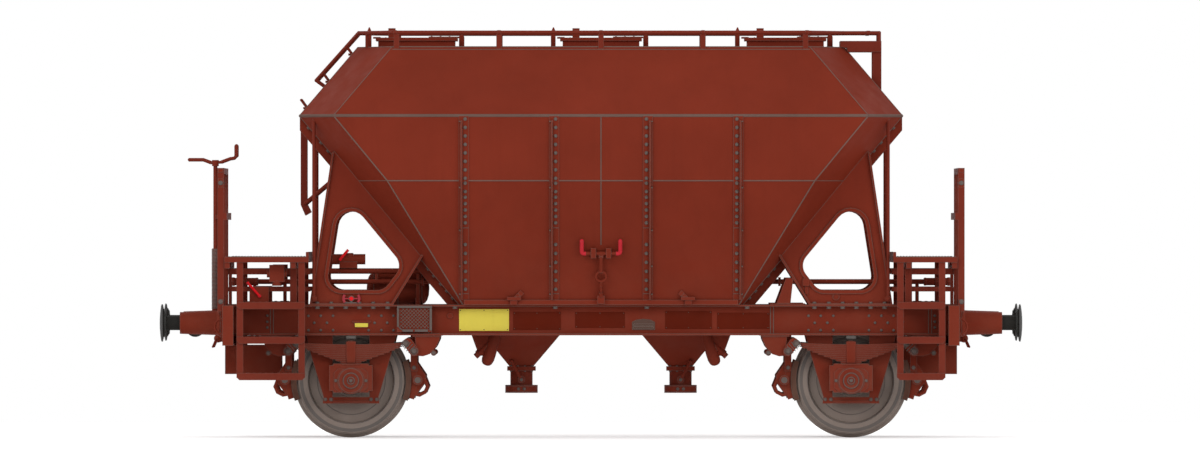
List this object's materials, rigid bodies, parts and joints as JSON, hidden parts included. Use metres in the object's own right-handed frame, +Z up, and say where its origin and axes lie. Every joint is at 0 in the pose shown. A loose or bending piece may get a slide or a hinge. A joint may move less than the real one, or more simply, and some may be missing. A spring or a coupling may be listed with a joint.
{
  "type": "two-axle covered hopper wagon",
  "caption": "Covered hopper wagon for powder with sloped end sheets, roof hatches, funnels with bottom outlets, end platforms and a hand brake.",
  "frame": {"origin": "middle of the wagon's length and width, at the bottom of the wheel flanges", "axes": "+X along the track towards the plain end, +Y across the track to the left, +Z up"},
  "size_m": [8.63, 3.08, 4.1149],
  "materials": {
    "wagon_paint": "satin red-brown paint, weathered",
    "frame_paint": "red-brown paint with dirt",
    "rail_paint": "red-brown paint, worn on edges",
    "wheel_steel": "rolled steel, brown film of rust",
    "axle_steel": "forged steel, dull",
    "box_casting": "painted casting",
    "spring_steel": "painted spring steel, dirty",
    "shoe_iron": "bare cast iron",
    "dark_steel": "near-black paint",
    "buffer_steel": "greased grey steel",
    "fitting_paint": "red-brown paint",
    "lever_red": "signal red paint"
  },
  "bodies": {
    "wagon": {"sole_bars": "frame_paint", "headstocks": "frame_paint", "cross_bearers": "frame_paint", "axle_guards": "frame_paint", "axle_boxes": "box_casting", "leaf_springs": "spring_steel", "spring_links": "frame_paint", "spring_brackets": "frame_paint", "brake_shoes": "shoe_iron", "brake_beams": "frame_paint", "brake_hangers": "frame_paint", "buffer_sleeves": "frame_paint", "buffer_heads": "buffer_steel", "draw_hooks": "dark_steel", "headstock_fittings": "fitting_paint", "platform_floors": "rail_paint", "platform_frames": "rail_paint", "end_rails": "rail_paint", "boarding_steps": "rail_paint", "end_boxes": "frame_paint", "handbrake_spindle": "rail_paint", "handbrake_crank": "fitting_paint", "side_sheets_upper": "wagon_paint", "side_sheets_lower": "wagon_paint", "end_sheets": "wagon_paint", "corner_sheets": "wagon_paint", "waist_flange": "wagon_paint", "roof_side_sheets": "wagon_paint", "roof_end_sheets": "wagon_paint", "roof_corner_sheets": "wagon_paint", "roof_top": "wagon_paint", "side_ribs": "wagon_paint", "end_ribs": "wagon_paint", "hopper_sills": "wagon_paint", "support_plates": "wagon_paint", "funnel_cross_sheets": "wagon_paint", "saddle_ridge": "wagon_paint", "funnel_side_sheets": "wagon_paint", "outlet_necks": "fitting_paint", "valve_levers": "fitting_paint", "air_inlets": "fitting_paint", "hatch_coamings": "wagon_paint", "hatch_fittings": "fitting_paint", "roof_rails": "rail_paint", "roof_platform": "rail_paint", "end_ladder": "rail_paint", "grab_rods": "rail_paint", "air_reservoir": "fitting_paint", "air_pipes": "fitting_paint", "brake_valve_gear": "fitting_paint", "unloading_gear": "fitting_paint", "red_levers": "lever_red", "side_fittings": "fitting_paint"},
    "wheelset_brake_end": {"brake_end_wheels": "wheel_steel", "brake_end_axle": "axle_steel"},
    "wheelset_plain_end": {"plain_end_wheels": "wheel_steel", "plain_end_axle": "axle_steel"},
    "hatch_1": {"hatch_lid_1": "wagon_paint"},
    "hatch_2": {"hatch_lid_2": "wagon_paint"},
    "hatch_3": {"hatch_lid_3": "wagon_paint"}
  },
  "joints": [
    {"name": "wheelset_brake_end_spin", "type": "hinge", "parent": "wagon", "child": "wheelset_brake_end", "pos_m": [-2.4, 0, 0.572], "axis": [0, 1, 0], "continuous": true},
    {"name": "wheelset_plain_end_spin", "type": "hinge", "parent": "wagon", "child": "wheelset_plain_end", "pos_m": [2.6, 0, 0.572], "axis": [0, 1, 0], "continuous": true},
    {"name": "hatch_1_lid", "type": "hinge", "parent": "wagon", "child": "hatch_1", "pos_m": [-1.3, 0, 4.015], "axis": [0, 1, 0], "range_deg": [0, 110]},
    {"name": "hatch_2_lid", "type": "hinge", "parent": "wagon", "child": "hatch_2", "pos_m": [0.55, 0, 4.015], "axis": [0, 1, 0], "range_deg": [0, 110]},
    {"name": "hatch_3_lid", "type": "hinge", "parent": "wagon", "child": "hatch_3", "pos_m": [2.4, 0, 4.015], "axis": [0, 1, 0], "range_deg": [0, 110]}
  ]
}
